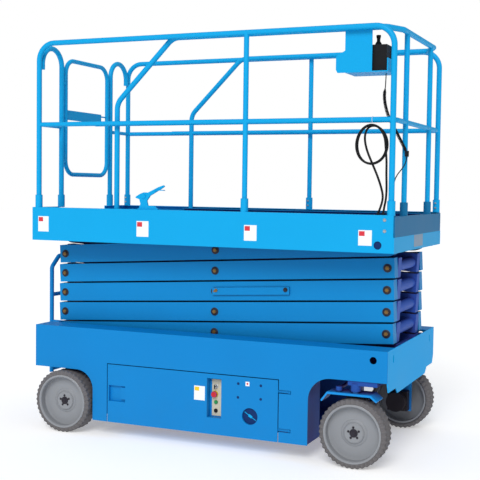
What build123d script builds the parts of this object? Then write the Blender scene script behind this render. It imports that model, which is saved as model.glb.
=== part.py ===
from build123d import *
import math
import os

# Self-propelled scissor lift, stowed, guard rails up.
# Units are millimetres. X runs forward to the steered wheels, Y to the left side
# seen from behind, Z up from the floor. The near side is -Y and the far side +Y.

# Overall sizes
platform_length = 2290.0
platform_width = 1134.0
chassis_rear_x = -1128.0
chassis_front_x = 1121.0
chassis_width = 1104.0
ground_clearance = 91.0
chassis_top_z = 650.0
sheet = 5.0

# Wheels and steering
tyre_radius = 190.5
tyre_width = 127.0
tyre_outer_y = 587.0
rim_radius = 158.0
rim_recess = 48.0
rim_wall = 9.0
hub_radius = 52.0
stub_radius = 22.0
bore_clearance = 0.05
seat_gap = 0.3
rear_wheel_x = -915.0
front_wheel_x = 938.0
wheel_y = tyre_outer_y - tyre_width / 2
steer_arm_length = 95.0
knuckle_plate = 12.0
knuckle_top_z = 407.0
knuckle_inner_y = 440.0
knuckle_outer_y = 560.0
knuckle_tip_z = 351.0
kingpin_radius = 18.0
tie_rod_z = 425.0
tie_rod_radius = 10.0
kingpin_boss_radius = 28.0

# Round holes in the sides
tiedown_radius = 20.0
tiedown_x = 1040.0
tiedown_z = 597.0
toe_hole_radius = 22.0
toe_hole_x = 1055.0
toe_hole_z = 1218.0

# Scissor stack
arm_pairs = 5
pin_rear_x = -1055.0
pin_span = 2105.0
pin_pitch = 122.5
lowest_pin_z = 591.0
arm_depth = 112.0
arm_thickness = 70.0
arm_wall = 5.0
arm_end = 40.0
outer_arm_y = 335.0
arm_gap = 8.0
pin_radius = 20.0
pin_clearance = 0.05
cross_tube_radius = 32.0

# Slide channels for the free ends of the stack
channel_inner_y = 345.0
channel_outer_y = 395.0
channel_wall = 8.0
roller_clearance = 5.0
roller_gap = 4.0
lower_roller_radius = 27.0
upper_roller_radius = 16.0

# Chassis frame
frame_bottom_z = 450.0
cross_member_top_z = 505.0
belly_sheet = 10.0
door_rear_x = -614.0
door_front_x = 500.0
door_top_z = 447.0
door_gap = 5.2
hinge_x = 560.0
hinge_depth = 15.0
hinge_pin_radius = 6.0
hinge_heights = (160.0, 378.0)
hinge_strap = 14.0
hinge_slot = 20.0
latch_rear_x = -600.0
latch_front_x = -487.0
latch_bottom_z = 220.0
latch_top_z = 316.0
latch_depth = 20.0
latch_wall = 3.0
paddle_width = 31.0
dish_x = 325.0
dish_z = 219.0
dish_radius = 48.0
dish_depth = 10.0

# Platform and rails
toe_bottom_z = 1177.0
toe_top_z = 1380.0
deck_top_z = 1270.0
deck_sheet = 5.0
toe_sheet = 6.0
lip_width = 40.0
lip_sheet = 4.0
rail_radius = 16.0
mid_rail_radius = 14.0
rail_top_z = 2382.0
mid_rail_z = 1888.0
main_rail_inset = 22.0
slide_rail_inset = 65.0
rail_bend = 105.0
rear_post_x = -1112.0
front_post_x = 1120.0
middle_post_x = 272.0
socket_radius = 22.0
socket_height = 76.0

# Gate and rear arches
gate_post_y = 300.0
gate_radius = 14.0
gate_bottom_z = 1587.0
gate_top_z = 2320.0
gate_edge_y = 255.0
gate_bend = 90.0
gate_hinge_x_offset = 10.0
gate_hinge_y = 277.0
gate_hinge_radius = 5.5
gate_pin_radius = 3.0
gate_low_hinge_rise = 113.0
gate_high_hinge_drop = 120.0

# Sliding extension deck
slide_post_x = -583.0
slide_front_x = 1122.0
slide_front_post_y = 285.0
slide_kink_y = 365.0
slide_deck_rear_x = -640.0
wear_strip_half = 35.0

# Lift cylinder, between the second and fourth inner arms
foot_share = 0.9
head_share = 0.75
barrel_radius = 52.0
lift_rod_radius = 34.0
cylinder_pin_radius = 22.0
cylinder_eye_radius = 40.0
cylinder_eye_half = 30.0
fork_inner_y = 38.0
fork_plate = 14.0
fork_half_height = 30.0
fork_boss_radius = 36.0

# Ground controls in a recess of the near door
control_rear_x = 55.0
control_front_x = 146.0
control_bottom_z = 188.0
control_top_z = 416.0
control_depth = 45.0
control_wall = 4.0

# Ladder behind the chassis
ladder_x = -1230.0
ladder_half_width = 228.0
ladder_bottom_z = 290.0
ladder_top_z = 1050.0
ladder_tube_radius = 14.0

# Controller and its holder on the near side tube of the extension
holder_sheet = 3.0
holder_depth = 239.0
holder_floor = 6.0
holder_front_x = 1080.0
holder_inner_y = 330.0

# Cords: the cable that feeds the platform, and the controller's curly cord with its lead
cable_radius = 6.0
lead_radius = 3.5
curly_radius = 10.0
cord_exit_x = 1043.0
cord_exit_y = -420.0
lead_gland_x = 1108.0
lead_gland_y = -450.0
gland_y = -541.0
gland_xs = (1048.0, 1076.0)
gland_radius = 10.0
gland_height = 12.0
coil_x = 1003.5
coil_y = -540.0
coil_z = 1754.0
coil_radius = 83.5
coil_half_straight = 22.0
coil_section_radius = 11.5
connector_radius = 11.0

# Values worked out from the sizes above
half_length = platform_length / 2
half_width = platform_width / 2
main_rail_y = half_width - main_rail_inset
slide_rail_y = half_width - slide_rail_inset
gate_hinge_heights = (gate_bottom_z + gate_low_hinge_rise, gate_top_z - gate_high_hinge_drop)
holder_floor_z = rail_top_z - holder_depth
skirt_y = chassis_width / 2
arm_length = math.hypot(pin_span, pin_pitch)
arm_angle = math.degrees(math.atan2(pin_pitch, pin_span))
roller_y = (channel_inner_y + channel_outer_y - channel_wall) / 2
roller_inner_y = channel_inner_y + roller_gap
roller_outer_y = channel_outer_y - channel_wall - roller_gap
stack_mid_x = pin_rear_x + pin_span / 2
inner_arm_y = outer_arm_y - arm_thickness - arm_gap
inner_arm_inside_y = inner_arm_y - arm_thickness
outer_arm_inside_y = outer_arm_y - arm_thickness
top_pin_z = lowest_pin_z + arm_pairs * pin_pitch
ladder_rear_x = ladder_x - ladder_tube_radius
centre_x = (ladder_rear_x + half_length) / 2
SIDES = (("near", -1), ("far", 1))

os.makedirs("parts", exist_ok=True)


def save(name, shape):
    """Write one node, moved so that the origin is under the middle of the machine."""
    placed = Pos(-centre_x, 0, 0) * shape
    export_step(placed, f"parts/{name}.step")


def block(x0, x1, y0, y1, z0, z1):
    """A rectangular solid between two corners."""
    middle = Pos((x0 + x1) / 2, (y0 + y1) / 2, (z0 + z1) / 2)
    return middle * Box(abs(x1 - x0), abs(y1 - y0), abs(z1 - z0))


def side_block(side, x0, x1, y_in, y_out, z0, z1):
    """A rectangular solid on one side, given by its distances from the middle plane."""
    return block(x0, x1, side * y_in, side * y_out, z0, z1)


def rod_along_y(radius, x, y0, y1, z):
    """A round bar along Y."""
    return Pos(x, (y0 + y1) / 2, z) * Rot(90, 0, 0) * Cylinder(radius, abs(y1 - y0))


def upright(radius, x, y, z0, z1):
    """A round bar along Z."""
    return Pos(x, y, (z0 + z1) / 2) * Cylinder(radius, z1 - z0)


def side_plate(points, y0, y1):
    """A flat plate parallel to the side of the machine, from an outline in X and Z."""
    low = min(y0, y1)
    face = Plane(origin=(0, low, 0), x_dir=(1, 0, 0), z_dir=(0, -1, 0)) * make_face(Polyline(*points, close=True))
    return extrude(face, -abs(y1 - y0))


def tube(points, radius, bend):
    """A round bar along straight runs joined by bends."""
    if len(points) > 2:
        path = FilletPolyline(*points, radius=bend)
    else:
        path = Line(*points)
    section = Plane(origin=path @ 0, z_dir=path % 0) * Circle(radius)
    return sweep(section, path=path)


def outer_pin(level):
    """X and Z of the lower pin of the outer arm on this level, then of its upper pin."""
    low_z = lowest_pin_z + level * pin_pitch
    return (pin_rear_x, low_z), (pin_rear_x + pin_span, low_z + pin_pitch)


def level_middle_z(level):
    return lowest_pin_z + (level + 0.5) * pin_pitch


def arm_outline(inset, rear_round, front_round):
    """The side view of an arm beam: square past its pins, or round where it turns close to a plate."""
    depth = arm_depth - 2 * inset
    rear_x = -arm_length / 2 - (0 if rear_round else arm_end - inset)
    front_x = arm_length / 2 + (0 if front_round else arm_end - inset)
    outline = Pos((rear_x + front_x) / 2, 0) * Rectangle(front_x - rear_x, depth)
    if rear_round:
        outline += Pos(rear_x, 0) * Circle(depth / 2)
    if front_round:
        outline += Pos(front_x, 0) * Circle(depth / 2)
    return outline


def arm_beam(y_inside, y_outside, rear_round, front_round):
    """One hollow arm beam along X, round the origin."""
    outline = arm_outline(0, rear_round, front_round)
    hollow = arm_outline(arm_wall, rear_round, front_round)
    width = abs(y_outside - y_inside)
    plane = Plane(origin=(0, max(y_inside, y_outside), 0), x_dir=(1, 0, 0), z_dir=(0, -1, 0))
    beam = extrude(plane * outline, width)
    core_plane = plane.offset(arm_wall)
    beam -= extrude(core_plane * hollow, width - 2 * arm_wall)
    return beam


# Wheels: one tyre and one rim each
def tyre_shape():
    """A solid tyre about Y, centred, with rounded shoulders."""
    half = tyre_width / 2
    shoulder = 12.0
    profile = Polyline(
        (rim_radius + 1, -half + 10), (rim_radius + 8, -half), (tyre_radius - shoulder, -half),
        (tyre_radius, -half + shoulder), (tyre_radius, half - shoulder),
        (tyre_radius - shoulder, half), (rim_radius + 8, half), (rim_radius + 1, half - 10), close=True)
    return revolve(Plane.XY * make_face(profile), axis=Axis.Y)


def rim_shape(outward):
    """A dished rim about Y with its hub, open towards the outside."""
    half = tyre_width / 2
    disc_out = half - rim_recess
    disc_in = disc_out - rim_wall
    hub_out = disc_out + 10.0
    profile = Polyline(
        (stub_radius + bore_clearance, disc_in - 14), (hub_radius, disc_in - 14), (hub_radius, disc_in),
        (rim_radius - rim_wall, disc_in), (rim_radius - rim_wall, -half + 11), (rim_radius + 0.9, -half + 11),
        (rim_radius + 0.9, half - 10), (rim_radius + 4, half - 3), (rim_radius + 4, half),
        (rim_radius - 5, half), (rim_radius - rim_wall, half - 6), (rim_radius - rim_wall, disc_out),
        (hub_radius, disc_out), (hub_radius, hub_out), (stub_radius + bore_clearance, hub_out), close=True)
    rim = revolve(Plane.XY * make_face(profile), axis=Axis.Y)
    return rim if outward > 0 else mirror(rim, about=Plane.XZ)


WHEELS = (("front", front_wheel_x), ("rear", rear_wheel_x))
for end, wheel_x in WHEELS:
    for side_name, side in SIDES:
        place = Pos(wheel_x, side * wheel_y, tyre_radius)
        save(f"tyre_{end}_{side_name}", place * tyre_shape())
        save(f"rim_{end}_{side_name}", place * rim_shape(side))

stub_end_y = tyre_outer_y - rim_recess + 6.0
wheel_inner_y = tyre_outer_y - tyre_width

# Knuckles: a plate over the tyre, a leg down its inner side, the stub and the kingpin
for side_name, side in SIDES:
    top = side_plate([(-184, knuckle_tip_z), (-150, knuckle_top_z - 12), (90, knuckle_top_z - 12),
                      (125, knuckle_top_z - 38), (130, knuckle_top_z - 31), (94, knuckle_top_z),
                      (-154, knuckle_top_z), (-190, knuckle_tip_z + 7)],
                     side * knuckle_inner_y, side * knuckle_outer_y)
    leg_top_z = knuckle_top_z - 1
    leg = side_block(side, -75, 75, knuckle_inner_y, knuckle_inner_y + knuckle_plate, 120, leg_top_z)
    stub = rod_along_y(stub_radius, 0, side * (knuckle_inner_y + 2), side * stub_end_y, tyre_radius)
    boss = rod_along_y(45, 0, side * (knuckle_inner_y + 2), side * (wheel_inner_y + 20), tyre_radius)
    kingpin = upright(kingpin_radius, 0, side * wheel_y, knuckle_top_z - 2, cross_member_top_z - 15)
    arm = side_block(side, -steer_arm_length, 0, wheel_y - 16, wheel_y + 16, knuckle_top_z - 12, knuckle_top_z)
    arm += upright(16, -steer_arm_length, side * wheel_y, knuckle_top_z - 12, knuckle_top_z)
    eye_pin = upright(8, -steer_arm_length, side * wheel_y, knuckle_top_z - 2, tie_rod_z + tie_rod_radius)
    knuckle = top + leg + boss + stub + kingpin + arm + eye_pin
    save(f"knuckle_{side_name}", Pos(front_wheel_x, 0, 0) * knuckle)
    motor = rod_along_y(60, 0, side * (knuckle_inner_y - 110), side * (knuckle_inner_y - 0.3), tyre_radius)
    motor += side_block(side, -62, 62, knuckle_inner_y - 60, knuckle_inner_y - 0.3, tyre_radius - 62, tyre_radius + 62)
    save(f"drive_motor_{side_name}", Pos(front_wheel_x, 0, 0) * motor)

tie_rod_x = front_wheel_x - steer_arm_length
tie_rod = rod_along_y(tie_rod_radius, tie_rod_x, -wheel_y + 14, wheel_y - 14, tie_rod_z)
for side_name, side in SIDES:
    eye = upright(18, tie_rod_x, side * wheel_y, tie_rod_z - tie_rod_radius - 1, tie_rod_z + tie_rod_radius + 1)
    hole = upright(8 + bore_clearance, tie_rod_x, side * wheel_y, tie_rod_z - 20, tie_rod_z + 20)
    tie_rod = tie_rod + eye - hole
save("tie_rod", tie_rod)

# Front axle beam with a boss over each kingpin
beam = block(front_wheel_x - 40, front_wheel_x + 125, -skirt_y + 8, skirt_y - 8, frame_bottom_z, cross_member_top_z - 5)
for side_name, side in SIDES:
    beam += upright(kingpin_boss_radius, front_wheel_x, side * wheel_y, frame_bottom_z - 32, frame_bottom_z + 10)
for side_name, side in SIDES:
    beam -= upright(kingpin_radius + bore_clearance, front_wheel_x, side * wheel_y, 400, cross_member_top_z - 14)
save("front_axle_beam", beam)

# Rear axle: a cross tube with a flange and a stub on each side, hung from the frame
rear_axle = rod_along_y(38, rear_wheel_x, -wheel_inner_y + 12, wheel_inner_y - 12, tyre_radius)
for side_name, side in SIDES:
    rear_axle += rod_along_y(stub_radius, rear_wheel_x, side * (wheel_inner_y - 20), side * stub_end_y, tyre_radius)
    rear_axle += rod_along_y(60, rear_wheel_x, side * (wheel_inner_y - 30), side * (wheel_inner_y - 12), tyre_radius)
    rear_axle += side_block(side, rear_wheel_x - 70, rear_wheel_x + 70, channel_inner_y + 5, channel_outer_y - 5,
                            tyre_radius - 30, frame_bottom_z)
save("rear_axle", rear_axle)

# Chassis frame: two channels, cross members and the walls between the wheel arches
channel_low_z = lowest_pin_z - lower_roller_radius - roller_clearance - channel_wall
channel_high_z = lowest_pin_z + lower_roller_radius + roller_clearance + channel_wall
frame_rear_x = chassis_rear_x + sheet
frame_front_x = chassis_front_x - sheet
wall_rear_x = -714.0
wall_front_x = 672.0
frame = None
for side_name, side in SIDES:
    web = side_block(side, frame_rear_x, frame_front_x, channel_outer_y - channel_wall, channel_outer_y,
                     frame_bottom_z, channel_high_z)
    web += side_block(side, frame_rear_x, frame_front_x, channel_inner_y, channel_outer_y,
                      channel_low_z, channel_low_z + channel_wall)
    web += side_block(side, frame_rear_x, frame_front_x, channel_inner_y, channel_outer_y,
                      channel_high_z - channel_wall, channel_high_z)
    web += side_block(side, wall_rear_x + 5, wall_front_x - 5, channel_inner_y, channel_inner_y + 8,
                      ground_clearance + 5, frame_bottom_z + 20)
    web += side_block(side, frame_rear_x, frame_front_x, channel_inner_y, channel_outer_y,
                      frame_bottom_z, frame_bottom_z + 20)
    web += rod_along_y(pin_radius + 20, pin_rear_x, side * channel_inner_y, side * channel_outer_y, lowest_pin_z)
    web -= rod_along_y(pin_radius + pin_clearance, pin_rear_x, side * 300, side * 420, lowest_pin_z)
    for wall_x in (wall_rear_x, wall_front_x - 6):
        web += side_block(side, wall_x, wall_x + 6, channel_inner_y, skirt_y - sheet, ground_clearance + 5, frame_bottom_z + 20)
    frame = web if frame is None else frame + web
for member_x in (frame_rear_x, -700.0, -60.0, 600.0, frame_front_x - 60):
    frame += block(member_x, member_x + 60, -channel_outer_y + 2, channel_outer_y - 2, frame_bottom_z, cross_member_top_z)
frame += block(wall_rear_x + 2, wall_front_x - 2, -channel_inner_y - 4, channel_inner_y + 4,
               ground_clearance + 5, ground_clearance + 5 + belly_sheet)
frame -= block(front_wheel_x - 40 - seat_gap, front_wheel_x + 125 + seat_gap, -skirt_y, skirt_y,
               frame_bottom_z - 1, cross_member_top_z - 5 + seat_gap)
save("chassis_frame", frame)

# Skirts with wheel arches and a door opening, and a flange along the top
arch_top_rear_z = 392.0
arch_top_front_z = 477.0
for side_name, side in SIDES:
    outline = make_face(Polyline(
        (chassis_rear_x, arch_top_rear_z), (wall_rear_x, arch_top_rear_z), (wall_rear_x, ground_clearance),
        (wall_front_x, ground_clearance), (wall_front_x, arch_top_front_z), (chassis_front_x, arch_top_front_z),
        (chassis_front_x, chassis_top_z), (chassis_rear_x, chassis_top_z), close=True))
    rear_corner = outline.vertices().sort_by_distance((wall_rear_x, arch_top_rear_z, 0))[0]
    outline = fillet(rear_corner, 115)
    front_corner = outline.vertices().sort_by_distance((wall_front_x, arch_top_front_z, 0))[0]
    outline = fillet(front_corner, 130)
    plane = Plane(origin=(0, side * skirt_y if side < 0 else side * (skirt_y - sheet), 0),
                  x_dir=(1, 0, 0), z_dir=(0, -1, 0))
    skirt = extrude(plane * outline, -sheet)
    skirt -= side_block(side, door_rear_x, door_front_x, skirt_y - sheet - 20, skirt_y + 20,
                        ground_clearance - 10, door_top_z)
    for hinge_z in hinge_heights:
        skirt -= side_block(side, door_front_x - 1, hinge_x + 13, skirt_y - sheet - 20, skirt_y + 20,
                            hinge_z - hinge_slot / 2, hinge_z + hinge_slot / 2)
        pin_y = side * (skirt_y - hinge_depth)
        skirt += upright(hinge_pin_radius, hinge_x, pin_y, hinge_z - 18, hinge_z + 18)
        for lug_low_z in (hinge_z - 20, hinge_z + hinge_slot / 2 + 1):
            skirt += side_block(side, hinge_x - 9, hinge_x + 9, skirt_y - hinge_depth - 9, skirt_y - sheet + 1,
                                lug_low_z, lug_low_z + 9)
    skirt += side_block(side, chassis_rear_x + sheet, chassis_front_x - sheet, channel_outer_y + 0.3, skirt_y - 1,
                        chassis_top_z - sheet, chassis_top_z)
    skirt -= rod_along_y(tiedown_radius, tiedown_x, side * (skirt_y - 20), side * (skirt_y + 20), tiedown_z)
    save(f"skirt_{side_name}", skirt)

# End plates
rear_plate = block(chassis_rear_x, chassis_rear_x + sheet, -skirt_y + sheet, skirt_y - sheet,
                   arch_top_rear_z, chassis_top_z - 12)
save("rear_plate", rear_plate)

front_outline = Polyline(
    (-skirt_y + sheet, chassis_top_z), (-skirt_y + sheet, 470), (-525, 424), (-370, 424), (-330, 390),
    (330, 390), (370, 424), (525, 424), (skirt_y - sheet, 470), (skirt_y - sheet, chassis_top_z), close=True)
front_plane = Plane(origin=(chassis_front_x - sheet, 0, 0), x_dir=(0, 1, 0), z_dir=(1, 0, 0))
front_plate = extrude(front_plane * make_face(front_outline), sheet)
for side_name, side in SIDES:
    slot = Plane(origin=(chassis_front_x, side * 432, 594), x_dir=(0, 0, 1), z_dir=(1, 0, 0)) * SlotOverall(46, 18)
    front_plate -= extrude(slot, -2 * sheet, both=True)
save("front_plate", front_plate)

# Swing-out side trays: a door with a floor, and the heavy unit that it carries
for side_name, side in SIDES:
    door = side_block(side, door_rear_x + door_gap, door_front_x - door_gap, skirt_y - sheet, skirt_y,
                      ground_clearance, door_top_z - door_gap)
    door += side_block(side, door_rear_x + 60, door_front_x - 60, channel_inner_y + 25, skirt_y - 2,
                       ground_clearance + 14, ground_clearance + 19)
    for hinge_z in hinge_heights:
        strap_y = skirt_y - hinge_depth
        low_z = hinge_z - hinge_strap / 2
        high_z = hinge_z + hinge_strap / 2
        door += side_block(side, door_front_x - 60, hinge_x, strap_y - 6, strap_y + 6, low_z, high_z)
        door += side_block(side, door_front_x - 60, door_front_x - 12, strap_y + 5, skirt_y - 2, low_z, high_z)
        door += upright(hinge_pin_radius + 4, hinge_x, side * strap_y, low_z, high_z)
        door -= upright(hinge_pin_radius + bore_clearance, hinge_x, side * strap_y, low_z - 1, high_z + 1)
    door += side_block(side, latch_rear_x - latch_wall, latch_front_x + latch_wall, skirt_y - latch_depth - latch_wall,
                       skirt_y - 1, latch_bottom_z - latch_wall, latch_top_z + latch_wall)
    door -= side_block(side, latch_rear_x, latch_front_x, skirt_y - latch_depth, skirt_y + 1,
                       latch_bottom_z, latch_top_z)
    door += side_block(side, latch_front_x - 4 - paddle_width, latch_front_x - 4, skirt_y - latch_depth - 1,
                       skirt_y - 7, latch_bottom_z + 15, latch_top_z - 9)
    if side_name == "near":
        door -= side_block(side, control_rear_x, control_front_x, skirt_y - 20, skirt_y + 20,
                           control_bottom_z, control_top_z)
        door += rod_along_y(dish_radius + latch_wall, dish_x, side * (skirt_y - dish_depth - latch_wall),
                            side * (skirt_y - 1), dish_z)
        door -= rod_along_y(dish_radius, dish_x, side * (skirt_y - dish_depth), side * (skirt_y + 1), dish_z)
    save(f"tray_door_{side_name}", door)
    unit_top_z = 400.0 if side > 0 else 360.0
    unit = side_block(side, door_rear_x + 80, door_front_x - 120, channel_inner_y + 40, skirt_y - 62,
                      ground_clearance + 19, unit_top_z)
    save("battery_pack" if side > 0 else "hydraulic_unit", unit)

# Ground control box behind the near door's opening: a tray with a plate and four controls
box_front_y = skirt_y - sheet - 0.3
box_back_y = skirt_y - control_depth
controls = side_block(-1, control_rear_x - control_wall, control_front_x + control_wall, box_back_y - control_wall,
                      box_front_y, control_bottom_z - control_wall, control_top_z + control_wall)
controls -= side_block(-1, control_rear_x, control_front_x, box_back_y, box_front_y + 1,
                       control_bottom_z, control_top_z)
controls += side_block(-1, 69, 127, box_back_y - 1, box_back_y + 2, 192, 405)
CONTROLS = ((97, 365, 7, 16), (88, 318, 17, 22), (95, 272, 9, 8), (95, 222, 9, 8))
for control_x, control_z, control_radius, control_reach in CONTROLS:
    controls += rod_along_y(control_radius, control_x, -box_back_y, -box_back_y - 2 - control_reach, control_z)
save("ground_controls", controls)

# Ladder on the rear plate
corner_z = ladder_top_z - 68
ladder = tube([(ladder_x, -ladder_half_width, ladder_bottom_z), (ladder_x, -ladder_half_width, corner_z),
               (ladder_x, -ladder_half_width + 80, ladder_top_z), (ladder_x, ladder_half_width - 80, ladder_top_z),
               (ladder_x, ladder_half_width, corner_z), (ladder_x, ladder_half_width, ladder_bottom_z)],
              ladder_tube_radius, 30)
for rung_z in (ladder_bottom_z + 20, 545.0, 800.0):
    ladder += rod_along_y(ladder_tube_radius - 1, ladder_x, -ladder_half_width, ladder_half_width, rung_z)
for side_name, side in SIDES:
    for stay_z in (430.0, 620.0):
        ladder += side_block(side, ladder_x, chassis_rear_x - 0.3, ladder_half_width - 8, ladder_half_width + 8,
                             stay_z - 14, stay_z + 14)
save("ladder", ladder)

# Scissor arms, one outer pair and one inner frame on each level
for level in range(arm_pairs):
    number = level + 1
    middle_z = level_middle_z(level)
    outer = None
    for side_name, side in SIDES:
        beam = arm_beam(side * outer_arm_inside_y, side * outer_arm_y, number == 1, number == arm_pairs)
        pin_inner_y = inner_arm_inside_y - 12
        for pin_x in (-arm_length / 2, 0, arm_length / 2):
            end_pin = (level == 0 and pin_x < 0) or (level == arm_pairs - 1 and pin_x > 0)
            start_y = outer_arm_inside_y + 1 if end_pin else pin_inner_y
            beam += rod_along_y(pin_radius, pin_x, side * start_y, side * (outer_arm_y - 1), 0)
        if level == 0:
            beam += rod_along_y(pin_radius, -arm_length / 2, side * (outer_arm_inside_y + 1),
                                side * (channel_outer_y - 2), 0)
        if level == arm_pairs - 1:
            beam += rod_along_y(upper_roller_radius - 4, arm_length / 2, side * (outer_arm_y - 35), side * roller_y, 0)
            beam += rod_along_y(upper_roller_radius, arm_length / 2, side * roller_inner_y, side * roller_outer_y, 0)
        outer = beam if outer is None else outer + beam
    save(f"outer_arm_{number}", Pos(stack_mid_x, 0, middle_z) * Rot(0, -arm_angle, 0) * outer)

    inner = None
    for side_name, side in SIDES:
        beam = arm_beam(side * inner_arm_inside_y, side * inner_arm_y, number == arm_pairs, False)
        inner = beam if inner is None else inner + beam
    for pin_x in (-arm_length / 2, arm_length / 2):
        inner += rod_along_y(cross_tube_radius, pin_x, -inner_arm_inside_y - 2, inner_arm_inside_y + 2, 0)
    for side_name, side in SIDES:
        for pin_x in (-arm_length / 2, 0, arm_length / 2):
            inner += rod_along_y(pin_radius + 14, pin_x, side * (inner_arm_inside_y + 1), side * (inner_arm_y - 1), 0)
            inner -= rod_along_y(pin_radius + pin_clearance, pin_x, side * (inner_arm_inside_y - 14),
                                 side * (inner_arm_y + 10), 0)
    if level == 0:
        for side_name, side in SIDES:
            inner += rod_along_y(pin_radius, arm_length / 2, side * (inner_arm_inside_y - 14), side * roller_y, 0)
            inner += rod_along_y(lower_roller_radius, arm_length / 2, side * roller_inner_y, side * roller_outer_y, 0)
    if number in (2, 4):
        end_x = (-1 if number == 2 else 1) * arm_length / 2
        eye_x = end_x * (foot_share if number == 2 else head_share)
        for side_name, side in SIDES:
            inner += side_block(side, eye_x, end_x, fork_inner_y, fork_inner_y + fork_plate,
                                -fork_half_height, fork_half_height)
            inner += rod_along_y(fork_boss_radius, eye_x, side * fork_inner_y,
                                 side * (fork_inner_y + fork_plate), 0)
            inner += rod_along_y(26, eye_x, side * (fork_inner_y + fork_plate - 1),
                                 side * (fork_inner_y + fork_plate + 8), 0)
        if number == 2:
            inner += rod_along_y(cylinder_pin_radius, eye_x, -fork_inner_y - 2, fork_inner_y + 2, 0)
    save(f"inner_arm_{number}", Pos(stack_mid_x, 0, middle_z) * Rot(0, arm_angle, 0) * inner)

# Lift cylinder from the rear of the second inner arm to the front of the fourth
foot = (stack_mid_x - foot_share * pin_span / 2, level_middle_z(1) + foot_share * pin_pitch / 2)
head = (stack_mid_x + head_share * pin_span / 2, level_middle_z(3) - head_share * pin_pitch / 2)
cylinder_length = math.hypot(head[0] - foot[0], head[1] - foot[1])
cylinder_angle = math.degrees(math.atan2(head[1] - foot[1], head[0] - foot[0]))
barrel_start = 95.0
barrel_end = cylinder_length - 130
barrel_bore_start = barrel_start + 15


def rod_along_x(radius, x0, x1):
    return Pos((x0 + x1) / 2, 0, 0) * Rot(0, 90, 0) * Cylinder(radius, x1 - x0)


barrel = rod_along_x(barrel_radius, barrel_start, barrel_end)
barrel += rod_along_x(fork_inner_y - 5, 30, barrel_start + 5)
barrel += rod_along_y(cylinder_eye_radius, 0, -cylinder_eye_half, cylinder_eye_half, 0)
barrel -= rod_along_y(cylinder_pin_radius + bore_clearance, 0, -60, 60, 0)
barrel -= rod_along_x(lift_rod_radius + bore_clearance, barrel_bore_start, barrel_end + 10)
save("lift_barrel", Pos(foot[0], 0, foot[1]) * Rot(0, -cylinder_angle, 0) * barrel)
rod = rod_along_x(lift_rod_radius, barrel_bore_start + 5, cylinder_length - 20)
rod += rod_along_y(cylinder_eye_radius - 2, cylinder_length, -cylinder_eye_half, cylinder_eye_half, 0)
save("lift_rod", Pos(foot[0], 0, foot[1]) * Rot(0, -cylinder_angle, 0) * rod)

# Safety prop bar on the near outer arm of the third level
prop = side_block(-1, -12, 478, outer_arm_y + 0.3, outer_arm_y + 12.3, -22, 22)
save("safety_prop", Pos(stack_mid_x, 0, level_middle_z(2)) * Rot(0, -arm_angle, 0) * prop)

# Platform deck: floor, side channels, end beams and cross members
deck = block(-half_length + 7, half_length - 7, -half_width + 7, half_width - 7, deck_top_z - deck_sheet, deck_top_z)
for side_name, side in SIDES:
    low_z = top_pin_z - upper_roller_radius - roller_clearance - channel_wall
    deck += side_block(side, -half_length + 7, half_length - 7, channel_inner_y, channel_outer_y, low_z, low_z + channel_wall)
    deck += side_block(side, -half_length + 7, half_length - 7, channel_outer_y - channel_wall, channel_outer_y,
                       low_z, deck_top_z - deck_sheet + 1)
    deck += side_block(side, -half_length + 7, half_length - 7, channel_inner_y, channel_outer_y,
                       top_pin_z + upper_roller_radius + roller_clearance,
                       top_pin_z + upper_roller_radius + roller_clearance + channel_wall)
    lug = side_block(side, pin_rear_x - 40, pin_rear_x + 40, inner_arm_y + 5, inner_arm_y + 21,
                     top_pin_z - 25, deck_top_z - deck_sheet + 1)
    lug += rod_along_y(pin_radius, pin_rear_x, side * (inner_arm_inside_y - 12), side * (inner_arm_y + 20), top_pin_z)
    deck += lug
for member_x in (-half_length + 7, half_length - 27):
    deck += block(member_x, member_x + 20, -channel_outer_y + 2, channel_outer_y - 2, toe_bottom_z + 4, deck_top_z - 3)
deck += block(-330, -270, -channel_outer_y + 2, channel_outer_y - 2, 1226, deck_top_z - 3)
save("platform_deck", deck)

# Toe boards: two side boards with a lip and the sockets of the rails, then a rear and a front board between them
boards = []
rear_board = block(-half_length, -half_length + toe_sheet, -half_width, half_width, toe_bottom_z, deck_top_z - 8)
for side_name, side in SIDES:
    board = side_block(side, -half_length + toe_sheet, half_length - toe_sheet, half_width - toe_sheet, half_width,
                       toe_bottom_z, toe_top_z)
    board += side_block(side, -half_length + toe_sheet, half_length - toe_sheet, half_width - lip_width, half_width,
                        toe_top_z - lip_sheet, toe_top_z)
    for post_x in (rear_post_x, middle_post_x, front_post_x):
        board += upright(socket_radius, post_x, side * main_rail_y, toe_top_z - 2, toe_top_z + socket_height)
    for post_x in (rear_post_x, middle_post_x, front_post_x):
        board -= upright(rail_radius + 0.2, post_x, side * main_rail_y, toe_top_z - 20, toe_top_z + 100)
    board -= rod_along_y(toe_hole_radius, toe_hole_x, side * (half_width - 20), side * (half_width + 20), toe_hole_z)
    boards.append(board)
    rear_board += side_block(side, -half_length, -half_length + toe_sheet, gate_post_y - 18, half_width,
                             toe_bottom_z, toe_top_z)
    rear_board += side_block(side, -half_length, -half_length + lip_width, gate_post_y - 18,
                             main_rail_y - socket_radius - seat_gap, toe_top_z - lip_sheet, toe_top_z)
    rear_board += upright(socket_radius, rear_post_x, side * gate_post_y, toe_top_z - 2, toe_top_z + socket_height)
    rear_board -= upright(rail_radius + 0.2, rear_post_x, side * gate_post_y, toe_top_z - 20, toe_top_z + 100)
boards.append(rear_board)
boards.append(block(half_length - toe_sheet, half_length, -half_width, half_width, toe_bottom_z, deck_top_z - 8.3))
save("toe_boards", Compound(children=boards))

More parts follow.
